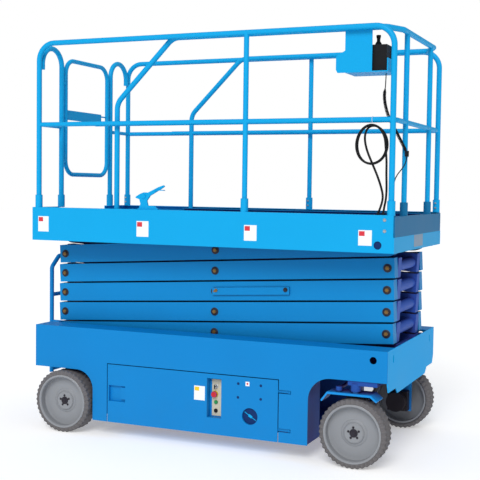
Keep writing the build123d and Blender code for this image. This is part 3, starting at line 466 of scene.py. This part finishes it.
NODE_FINISHES = (
    (PLATFORM_PAINT, ("toe_boards", "rail_near", "rail_far", "rear_arches", "gate", "lock_pedal",
                      "extension_rail_near", "extension_rail_far", "extension_front_rail",
                      "control_holder")),
    (FRONT_BOARD_SHADE_PAINT, ("extension_front_board",)),
    (DECK_PAINT, ("platform_deck", "extension_deck")),
    (CHASSIS_PAINT, ("skirt_near", "skirt_far", "rear_plate", "tray_door_near", "tray_door_far",
                     "ladder", "ground_controls")),
    (FRONT_PLATE_LIT_PAINT, ("front_plate",)),
    (SHADED_PAINT, ("chassis_frame", "front_axle_beam", "rear_axle", "tie_rod")),
    (ARM_PAINT, ("safety_prop",)),
    (KNUCKLE_PAINT, ("knuckle_near", "knuckle_far")),
    (DARK_PAINT, ("drive_motor_near", "drive_motor_far", "hydraulic_unit", "lift_barrel")),
    (BATTERY_PLASTIC, ("battery_pack",)),
    (BLACK_PLASTIC, ("controller", "cable_glands", "cord_connector")),
    (CHROME, ("lift_rod",)),
)


def finish_node(node, material):
    """Gives a carried-over solid its material."""
    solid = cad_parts[node]
    if not solid.material_slots:
        solid.data.materials.append(material)
    for material_slot in solid.material_slots:
        material_slot.material = material


for material, nodes in NODE_FINISHES:
    for node in nodes:
        finish_node(node, material)
for number in ARM_NUMBERS:
    finish_node(f"outer_arm_{number}", ARM_PAINT)
    finish_node(f"inner_arm_{number}", INNER_ARM_SHADE_PAINT)
for end in ("front", "rear"):
    for side_name, side in SIDES:
        finish_node(f"rim_{end}_{side_name}", RIM_PAINT)


# Mesh tools
DISC_TOP = 0.96


def turned_to(axis):
    """A matrix that turns Z onto the axis."""
    return Vector(axis).to_track_quat("Z", "Y").to_matrix().to_4x4()


def add_box(mesh, low, high, bevel, segments=1):
    """A box between two corners with rounded edges."""
    low = Vector(low)
    high = Vector(high)
    size = Matrix.Diagonal((high - low).to_4d())
    size[3][3] = 1
    made = bmesh.ops.create_cube(mesh, size=1, matrix=Matrix.Translation((low + high) / 2) @ size)
    edges = {edge for vertex in made["verts"] for edge in vertex.link_edges}
    bmesh.ops.bevel(mesh, geom=list(edges), offset=bevel, segments=segments, profile=0.5, affect="EDGES")


def add_lathe(mesh, profile, place, axis, segments):
    """A turned shape about an axis, from pairs of radius and height."""
    turn = Matrix.Translation(place) @ turned_to(axis)
    rings = []
    for radius, height in profile:
        if radius <= 0:
            rings.append([mesh.verts.new(turn @ Vector((0, 0, height)))])
            continue
        ring = []
        for step in range(segments):
            angle = 2 * math.pi * step / segments
            spot = Vector((radius * math.cos(angle), radius * math.sin(angle), height))
            ring.append(mesh.verts.new(turn @ spot))
        rings.append(ring)
    for before, after in zip(rings, rings[1:]):
        for step in range(segments):
            following = (step + 1) % segments
            corners = [before[step % len(before)], before[following % len(before)],
                       after[following % len(after)], after[step % len(after)]]
            corners = [corner for index, corner in enumerate(corners) if corner not in corners[:index]]
            if len(corners) > 2:
                mesh.faces.new(corners)


# Washer and hexagon head of a bolt, as shares of its size
BOLT_WASHER = ((0, 0), (1.15, 0), (1.15, 0.2), (0, 0.2))
BOLT_HEAD = ((0.95, 0.2), (1, 0.3), (1, 0.75), (0.85, 0.9), (0, 0.95))


def add_bolt(mesh, place, axis, size):
    """A washer and a hexagon head on a surface."""
    for profile, segments in ((BOLT_WASHER, 20), (BOLT_HEAD, 6)):
        scaled_profile = [(radius * size, height * size) for radius, height in profile]
        add_lathe(mesh, scaled_profile, place, axis, segments)


def piece(name, mesh, material, body, smooth=35.0):
    """Turns built geometry into an object that rides on a body."""
    bmesh.ops.recalc_face_normals(mesh, faces=mesh.faces)
    data = bpy.data.meshes.new(name)
    mesh.to_mesh(data)
    mesh.free()
    for polygon in data.polygons:
        polygon.use_smooth = True
    data.set_sharp_from_angle(angle=math.radians(smooth))
    data.materials.append(material)
    made = bpy.data.objects.new(name, data)
    bpy.context.scene.collection.objects.link(made)
    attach(made, body)
    return made


def lathe_piece(name, profile, place, axis, segments, material, body, smooth=35.0):
    """One turned shape as a piece of its own."""
    mesh = bmesh.new()
    add_lathe(mesh, profile, place, axis, segments)
    piece(name, mesh, material, body, smooth)


def box_piece(name, low, high, bevel, material, body):
    """One box as a piece of its own."""
    mesh = bmesh.new()
    add_box(mesh, low, high, bevel)
    piece(name, mesh, material, body)


def disc(name, place, axis, radius, thickness, material, body, segments=40):
    """A thin round piece on a surface."""
    profile = ((0, 0), (radius, 0), (radius * DISC_TOP, thickness), (0, thickness))
    lathe_piece(name, profile, place, axis, segments, material, body)


# Wheels: tyres with a lugged tread, and the hub details of the rims
LUGS = 40
STEPS_PER_LUG = 4
RAISED_STEPS = 2
LUG_DEPTH = 0.0055
LUG_START = 0.010
LUG_END = 0.030
BAND_START = 0.036
BAND_DROP = 0.0025
SHOULDER = 0.022
SHOULDER_TURN = 0.009
SHOULDER_BEVEL = 0.001
BEAD_SET = 0.012
BEAD_RISE = 0.006
BEAD_EASE = 0.002
BEAD_GAP = 0.0035
FACE_DEPTH = 0.048
LIP_DEPTH = 0.0045
HUB_RISE = 0.0095
HUB_BOLTS = 5
HUB_BOLT_CIRCLE = 0.031
HUB_BOLT_TURN = 0.4
HUB_BOLT_SIZE = 0.0058

# Profiles of the rim in radius and height, the first two with radii counted from its lip
RIM_LIP = ((-0.007, 0), (-0.006, 0.0035), (-0.002, 0.0042), (0.001, 0.002), (0.001, 0))
RIM_WELL = ((-0.012, 0.004), (-0.020, 0.0005), (-0.030, 0))
RIM_STEP = ((0.075, 0), (0.071, 0.0035), (0.060, 0.005), (0.058, 0.0105), (0.0535, 0.0125), (0.0515, 0.0102))
HUB_CAP = ((0.0235, 0), (0.0225, 0.0045), (0.013, 0.0055), (0.012, 0.0075), (0, 0.0078))


def tyre_profile(half, outer, inner, raised):
    """Pairs of distance from the axle and place across the tyre."""
    drop = 0 if raised else LUG_DEPTH
    edge = ((inner, BEAD_SET), (inner + BEAD_RISE, BEAD_EASE), (outer - SHOULDER, 0),
            (outer - SHOULDER_TURN - drop, SHOULDER_BEVEL + drop), (outer - drop, LUG_START),
            (outer - drop, LUG_END), (outer - BAND_DROP, BAND_START))
    left = [(radius, -half + across) for radius, across in edge]
    return left + [(radius, half - across) for radius, across in reversed(edge)]


def from_lip(profile, lip):
    return [(lip + radius, height) for radius, height in profile]


def make_tyre(end_side, body, middle, half, outer, inner):
    mesh = bmesh.new()
    rings = []
    steps = LUGS * STEPS_PER_LUG
    for step in range(steps):
        angle = 2 * math.pi * step / steps
        ring = []
        for radius, across in tyre_profile(half, outer, inner, step % STEPS_PER_LUG < RAISED_STEPS):
            ring.append(mesh.verts.new((middle.x + radius * math.cos(angle), middle.y + across,
                                        middle.z + radius * math.sin(angle))))
        rings.append(ring)
    for before, after in zip(rings, rings[1:] + rings[:1]):
        for index in range(len(before) - 1):
            mesh.faces.new((before[index], before[index + 1], after[index + 1], after[index]))
    tyre = piece(f"tyre_tread_{end_side}", mesh, TYRE_RUBBER, body, smooth=28)
    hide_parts(f"tyre_{end_side}")


def make_wheel(end_side, side):
    low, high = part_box(f"tyre_{end_side}")
    middle = (low + high) / 2
    half = (high.y - low.y) / 2
    rim_low, rim_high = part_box(f"rim_{end_side}")
    lip = (rim_high.x - rim_low.x) / 2
    body = f"wheel_{end_side}"
    outward = (0, side, 0)
    make_tyre(end_side, body, middle, half, (high.x - low.x) / 2, lip - BEAD_GAP)

    def across(depth):
        """The middle of the wheel, at a depth inside its outer side."""
        return Vector((middle.x, middle.y + side * (half - depth), middle.z))

    face = across(FACE_DEPTH)
    hub = across(FACE_DEPTH - HUB_RISE)
    lip_profile = from_lip(RIM_LIP, lip)
    lathe_piece(f"rim_lip_{end_side}", lip_profile, across(LIP_DEPTH), outward, 96, RIM_EDGE, body)
    mesh = bmesh.new()
    add_lathe(mesh, RIM_STEP, face, outward, 72)
    add_lathe(mesh, from_lip(RIM_WELL, lip), face, outward, 96)
    piece(f"rim_step_{end_side}", mesh, RIM_PAINT, body, smooth=60)
    mesh = bmesh.new()
    for number in range(HUB_BOLTS):
        angle = 2 * math.pi * number / HUB_BOLTS + HUB_BOLT_TURN
        offset = Vector((math.cos(angle), 0, math.sin(angle))) * HUB_BOLT_CIRCLE
        add_bolt(mesh, hub + offset, outward, HUB_BOLT_SIZE)
    piece(f"hub_bolts_{end_side}", mesh, DARK_STEEL, body)
    lathe_piece(f"hub_cap_{end_side}", HUB_CAP, hub, outward, 36, DARK_STEEL, body)


for end in ("front", "rear"):
    for side_name, side in SIDES:
        make_wheel(f"{end}_{side_name}", side)

# Washers and lock nuts of the arm pins, of which the lowest rear and the highest front one have none
ARM_PIN_SPOTS = (-1.055, -0.0025, 1.05)
BARE_PINS = ((ARM_NUMBERS[0], ARM_PIN_SPOTS[0]), (ARM_NUMBERS[-1], ARM_PIN_SPOTS[2]))
PIN_LOW_Z = 0.591
PIN_PITCH = 0.1225
ARM_SIDE = 0.335
NUT_GAP = 0.0002
PIN_WASHER = ((0, 0), (0.024, 0), (0.024, 0.0022), (0.021, 0.0034), (0, 0.0034))
PIN_NUT = ((0.0125, 0.003), (0.0125, 0.0085), (0.0108, 0.0102), (0.006, 0.0102), (0.006, 0.0125), (0, 0.013))


def arm_pin_height(number, spot_x):
    share = (spot_x - ARM_PIN_SPOTS[0]) / (ARM_PIN_SPOTS[2] - ARM_PIN_SPOTS[0])
    return PIN_LOW_Z + (number - 1 + share) * PIN_PITCH


for number in ARM_NUMBERS:
    for side_name, side in SIDES:
        washers = bmesh.new()
        nuts = bmesh.new()
        for spot_x in ARM_PIN_SPOTS:
            if (number, spot_x) in BARE_PINS:
                continue
            spot = at(spot_x, side * (ARM_SIDE + NUT_GAP), arm_pin_height(number, spot_x))
            add_lathe(washers, PIN_WASHER, spot, (0, side, 0), 32)
            add_lathe(nuts, PIN_NUT, spot, (0, side, 0), 6)
        piece(f"pin_washers_{number}_{side_name}", washers, DARK_STEEL, f"outer_{number}")
        piece(f"pin_nuts_{number}_{side_name}", nuts, BRASS, f"outer_{number}")

# Blank labels of the near side, between two corners given in X and Z
LABEL_OUT = 0.0009
LABEL_IN = 0.0004
LABEL_EDGE = 0.0004
CORNER_OUT = 0.0013
CORNER_EDGE = 0.0003
CORNER_SHARE = 0.42
CORNER_INSET = 0.004
CORNER_DROP = 0.006
TOE_LABELS = (
    ("toe_label_1", (-1.102, 1.231), (-1.026, 1.325)),
    ("toe_label_2", (-0.409, 1.220), (-0.329, 1.312)),
    ("toe_label_3", (0.281, 1.219), (0.358, 1.307)),
    ("toe_label_4", (0.948, 1.215), (1.023, 1.298)),
)


def label(name, low, high, body, face_y, corner=None):
    """A thin blank sticker, with a coloured corner where asked."""
    x0, z0 = low
    x1, z1 = high
    front = at(x0, face_y - LABEL_OUT, z0)
    back = at(x1, face_y + LABEL_IN, z1)
    box_piece(name, front, back, LABEL_EDGE, LABEL_WHITE, body)
    if corner is not None:
        width = (x1 - x0) * CORNER_SHARE
        left = x0 + CORNER_INSET
        box_piece(f"{name}_corner", at(left, face_y - CORNER_OUT, z1 - width),
                  at(left + width, face_y - LABEL_IN, z1 - CORNER_DROP), CORNER_EDGE, corner, body)


for name, low, high in TOE_LABELS:
    label(name, low, high, "platform", -PLATFORM_SIDE, LABEL_RED)

# Bolts of the toe boards
TOE_BOLTS = ((1.091, 1.354), (1.092, 1.295))
TOE_BOLT_SIZE = 0.008
for side_name, side in SIDES:
    mesh = bmesh.new()
    for bolt_x, bolt_z in TOE_BOLTS:
        add_bolt(mesh, at(bolt_x, side * PLATFORM_SIDE, bolt_z), (0, side, 0), TOE_BOLT_SIZE)
    piece(f"toe_bolts_{side_name}", mesh, ZINC, "platform")

# Labels, indicator and round holes of the near door, the holes drawn as discs of painted shade
DOOR_HOLES = ((0.252, 0.401), (0.391, 0.401), (0.251, 0.322), (0.391, 0.324))
INDICATOR_X = 0.309
INDICATOR_Z = 0.405
SPOT_OUT = 0.0008
TOWARDS_NEAR = (0, -1, 0)
label("controls_label", (-0.027, 0.283), (0.042, 0.366), "door_near", -SKIRT_SIDE, LABEL_YELLOW)
label("indicator", (0.297, 0.392), (0.321, 0.417), "door_near", -SKIRT_SIDE)
disc("indicator_spot", at(INDICATOR_X, -SKIRT_SIDE - SPOT_OUT, INDICATOR_Z), TOWARDS_NEAR, 0.006, 0.0008,
     LABEL_RED, "door_near")
for number, (hole_x, hole_z) in enumerate(DOOR_HOLES):
    place = at(hole_x, -SKIRT_SIDE, hole_z)
    disc(f"door_hole_{number + 1}", place, TOWARDS_NEAR, 0.008, 0.0004, SEAM_SHADOW, "door_near", 24)

# Ground controls: a plate, a key switch, a stop button and two more buttons
PANEL_FACE = -0.5090
KNOB_SINK = 0.001
BUTTON = ((0.0115, 0), (0.0115, 0.005), (0.0098, 0.0055), (0.0095, 0.0088), (0, 0.0094))
STOP_COLLAR = ((0.0205, 0), (0.0205, 0.004), (0.0178, 0.005))
STOP_BUTTON = ((0.0175, 0.003), (0.0178, 0.011), (0.0186, 0.0125), (0.0186, 0.0175), (0.016, 0.0212),
               (0.008, 0.0226), (0, 0.023))
KEY_BARREL = ((0.012, 0), (0.012, 0.003), (0.0095, 0.004), (0.0085, 0.0162), (0, 0.0166))
STOP_SPOT = (0.088, 0.318)
PANEL_KNOBS = (
    ("stop_collar", STOP_SPOT, STOP_COLLAR, LABEL_YELLOW),
    ("stop_button", STOP_SPOT, STOP_BUTTON, BUTTON_RED),
    ("go_button", (0.095, 0.272), BUTTON, BUTTON_GREEN),
    ("low_button", (0.095, 0.222), BUTTON, BLACK_PLASTIC),
    ("key_barrel", (0.097, 0.365), KEY_BARREL, ZINC),
)

box_piece("panel_plate", at(0.0685, PANEL_FACE - 0.0012, 0.1915), at(0.1275, PANEL_FACE + 0.001, 0.4055),
          0.0006, PANEL_BEIGE, "door_near")
for name, (knob_x, knob_z), profile, material in PANEL_KNOBS:
    place = at(knob_x, PANEL_FACE - KNOB_SINK, knob_z)
    lathe_piece(name, profile, place, TOWARDS_NEAR, 40, material, "door_near")
mesh = bmesh.new()
add_box(mesh, at(0.0958, PANEL_FACE - 0.030, 0.3615), at(0.0982, PANEL_FACE - 0.015, 0.3685), 0.0006)
add_box(mesh, at(0.0955, PANEL_FACE - 0.036, 0.352), at(0.0985, PANEL_FACE - 0.026, 0.378), 0.0012)
piece("key_blade", mesh, BLACK_PLASTIC, "door_near")

# Dish of the near door: a light line across a ground of painted shade
DISH_X = 0.325
DISH_Z = 0.219
DISH_RADIUS = 0.0475
DISH_TURN = 32
GROUND_DEPTH = 0.0099
LINE_DEPTH = 0.0088
LATCH_LINE = ((-0.041, -0.0006, -0.0022), (0.041, 0.0006, 0.0022))
LATCH_KNOT = ((-0.012, -0.0012, -0.0075), (0.012, 0.0006, 0.0075))
disc("dish_shade", at(DISH_X, -SKIRT_SIDE + GROUND_DEPTH, DISH_Z), TOWARDS_NEAR, DISH_RADIUS, 0.0005,
     SEAM_SHADOW, "door_near", 64)
mesh = bmesh.new()
line_place = Matrix.Translation(at(DISH_X, -SKIRT_SIDE + LINE_DEPTH, DISH_Z))
line_turn = line_place @ Matrix.Rotation(math.radians(DISH_TURN), 4, "Y")
for low, high in (LATCH_LINE, LATCH_KNOT):
    built = len(mesh.verts)
    add_box(mesh, low, high, 0.0005)
    mesh.verts.ensure_lookup_table()
    bmesh.ops.transform(mesh, matrix=line_turn, verts=mesh.verts[built:])
piece("dish_latch", mesh, PLATFORM_PAINT, "door_near")

# Badge of the front toe board, left blank
BADGE_LOW = (board_high.x - 0.0003, -0.126, 1.192)
BADGE_HIGH = (board_high.x + 0.0007, 0.087, 1.260)
box_piece("front_badge", BADGE_LOW, BADGE_HIGH, 0.0003, BADGE_GREY, "platform")

# Painted shade: dark discs behind the round holes of the toe boards
TOE_HOLE_X = 1.055
TOE_HOLE_Z = 1.218
TOE_GROUND_DEPTH = 0.0085
for side_name, side in SIDES:
    place = at(TOE_HOLE_X, side * (PLATFORM_SIDE - TOE_GROUND_DEPTH), TOE_HOLE_Z)
    disc(f"toe_hole_shade_{side_name}", place, (0, side, 0), 0.030, 0.0015, SEAM_SHADOW, "platform",
         32)

# Safety prop: the pin at its hook and its pivot
PROP_FACE = -(ARM_SIDE + 0.0123)
PROP_PIN = ((0, 0), (0.013, 0), (0.013, 0.003), (0.0085, 0.0035), (0.0085, 0.010), (0, 0.0112))
PROP_PIVOT = ((0, 0), (0.011, 0), (0.011, 0.004), (0, 0.005))
PIN_PLACE = at(0.452, PROP_FACE, 0.930)
PIVOT_PLACE = at(0.010, PROP_FACE, 0.9035)
lathe_piece("prop_pin", PROP_PIN, PIN_PLACE, TOWARDS_NEAR, 28, DARK_STEEL, "outer_3")
lathe_piece("prop_pivot", PROP_PIVOT, PIVOT_PLACE, TOWARDS_NEAR, 6, BRASS, "outer_3")

# Set screws of the rail sockets, facing the middle
SOCKET_SPOTS = (-1.112, 0.272, 1.120)
SOCKET_SIDE = 0.545
SOCKET_REACH = 0.022
SCREW_SINK = 0.0006
SCREW_HEIGHTS = (1.405, 1.435)
SET_SCREW = ((0, 0), (0.0062, 0), (0.0062, 0.006), (0.0048, 0.0072), (0, 0.0072))
for side_name, side in SIDES:
    screws = bmesh.new()
    screw_y = side * (SOCKET_SIDE - SOCKET_REACH + SCREW_SINK)
    for spot_x in SOCKET_SPOTS:
        for screw_z in SCREW_HEIGHTS:
            add_lathe(screws, SET_SCREW, at(spot_x, screw_y, screw_z), (0, -side, 0), 6)
    piece(f"socket_screws_{side_name}", screws, ZINC, "platform")

# Controller: the joystick with its bellows, a stop button and a row of rockers
UPWARD = (0, 0, 1)
STICK = at(1.000, -0.430, 2.290)
FOLDS = 4
FOLD_RISE = 0.0062
FOLD_TAPER = 0.0034
FOLD_OUTER = 0.0235
FOLD_INNER = 0.0205
FOLD_START = 0.003
BELLOWS_TOP = (0.0092, 0.028)
GRIP_SINK = 0.0008
STICK_GRIP = ((0.0092, 0.026), (0.0098, 0.040), (0.0125, 0.050), (0.0125, 0.060), (0.009, 0.0604),
              (0, 0.0606))
STOP_PLACE = at(0.895, -0.385, 2.290)
CONTROLLER_STOP = ((0.0165, 0), (0.0165, 0.004), (0.0145, 0.009), (0.0178, 0.011), (0.0172, 0.017),
                   (0, 0.0188))
ROCKER_SPOTS = (0.885, 0.918, 0.951)
ROCKER_HALF = 0.011
folds = [(FOLD_OUTER, 0.0)]
for fold in range(FOLDS):
    folds.append((FOLD_OUTER - FOLD_TAPER * fold, FOLD_START + FOLD_RISE * fold))
    folds.append((FOLD_INNER - FOLD_TAPER * fold, FOLD_RISE + FOLD_RISE * fold))
folds.append(BELLOWS_TOP)
lathe_piece("stick_bellows", folds, STICK, UPWARD, 36, BLACK_PLASTIC, "extension",
            smooth=50)
grip_place = STICK - Vector(UPWARD) * GRIP_SINK
lathe_piece("stick_grip", STICK_GRIP, grip_place, UPWARD, 28, BLACK_PLASTIC, "extension")
lathe_piece("controller_stop", CONTROLLER_STOP, STOP_PLACE, UPWARD, 32, BUTTON_RED, "extension")
mesh = bmesh.new()
for rocker_x in ROCKER_SPOTS:
    low = at(rocker_x - ROCKER_HALF, -0.478, 2.2898)
    high = at(rocker_x + ROCKER_HALF, -0.452, 2.2945)
    add_box(mesh, low, high, 0.0015, 2)
piece("controller_rockers", mesh, DARK_STEEL, "extension")

# Nylon tie that holds the cable to the mid rail
TIE_PLACE = at(1.009, -0.545, 1.888)
TIE_RADIUS = 0.0165
TIE_THICKNESS = 0.0014
TIE_STEPS = 12
TIE_ROUNDNESS = 2


def make_tie():
    turn = Matrix.Translation(TIE_PLACE) @ turned_to((1, 0, 0))
    loop = []
    for step in range(TIE_STEPS):
        angle = 2 * math.pi * step / TIE_STEPS
        loop.append(turn @ Vector((TIE_RADIUS * math.cos(angle), TIE_RADIUS * math.sin(angle), 0)))
    tie = spline_curve("rail_tie", loop, TIE_THICKNESS, TIE_ROUNDNESS)
    tie.data.splines[0].use_cyclic_u = True
    tie.data.materials.append(TIE_NYLON)
    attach(tie, "platform")


make_tie()


# Cord finishes and fittings
def finish_cord(curve, nodes, body):
    curve.data.materials.append(CABLE_RUBBER)
    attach(curve, body)
    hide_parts(*nodes)


finish_cord(cable, ("cable_rise", "cable_coil", "cable_drop"), "platform")
finish_cord(curly_cord, ("curly_cord",), "extension")
finish_cord(control_lead, ("control_lead",), "extension")


# Floor and light
def make_floor():
    mesh = bmesh.new()
    bmesh.ops.create_grid(mesh, x_segments=1, y_segments=1, size=FLOOR_SIZE)
    data = bpy.data.meshes.new("floor")
    mesh.to_mesh(data)
    mesh.free()
    floor = bpy.data.objects.new("floor", data)
    bpy.context.scene.collection.objects.link(floor)
    finish = surface("floor_finish", "#F4F4F4", 0.9, spread=0.01, bump=0.02)
    glow = finish.node_tree.nodes["Principled BSDF"].inputs
    glow["Emission Color"].default_value = WHITE
    glow["Emission Strength"].default_value = FLOOR_GLOW
    data.materials.append(finish)


def make_world():
    world = bpy.data.worlds.new("studio")
    bpy.context.scene.world = world
    world.use_nodes = True
    nodes = world.node_tree.nodes
    links = world.node_tree.links
    nodes.clear()
    path = nodes.new("ShaderNodeLightPath")
    seen = nodes.new("ShaderNodeBackground")
    seen.inputs["Color"].default_value = WHITE
    seen.inputs["Strength"].default_value = 1
    lit = nodes.new("ShaderNodeBackground")
    lit.inputs["Color"].default_value = SKY_COLOUR
    lit.inputs["Strength"].default_value = SKY_STRENGTH
    seen_rays = (path.outputs["Is Camera Ray"], path.outputs["Is Transmission Ray"])
    shown = add_math(nodes, links, "MAXIMUM", *seen_rays)
    mix = nodes.new("ShaderNodeMixShader")
    links.new(shown, mix.inputs["Fac"])
    links.new(lit.outputs["Background"], mix.inputs[1])
    links.new(seen.outputs["Background"], mix.inputs[2])
    output = nodes.new("ShaderNodeOutputWorld")
    links.new(mix.outputs["Shader"], output.inputs["Surface"])


def make_sun():
    data = bpy.data.lights.new("sun", "SUN")
    data.energy = SUN_STRENGTH
    data.angle = math.radians(SUN_SOFTNESS)
    sun = bpy.data.objects.new("sun", data)
    sun.rotation_mode = "QUATERNION"
    sun.rotation_quaternion = Vector(SUN_FROM).to_track_quat("Z", "Y")
    bpy.context.scene.collection.objects.link(sun)


make_floor()
make_world()
make_sun()
bpy.context.scene.view_settings.view_transform = "Standard"
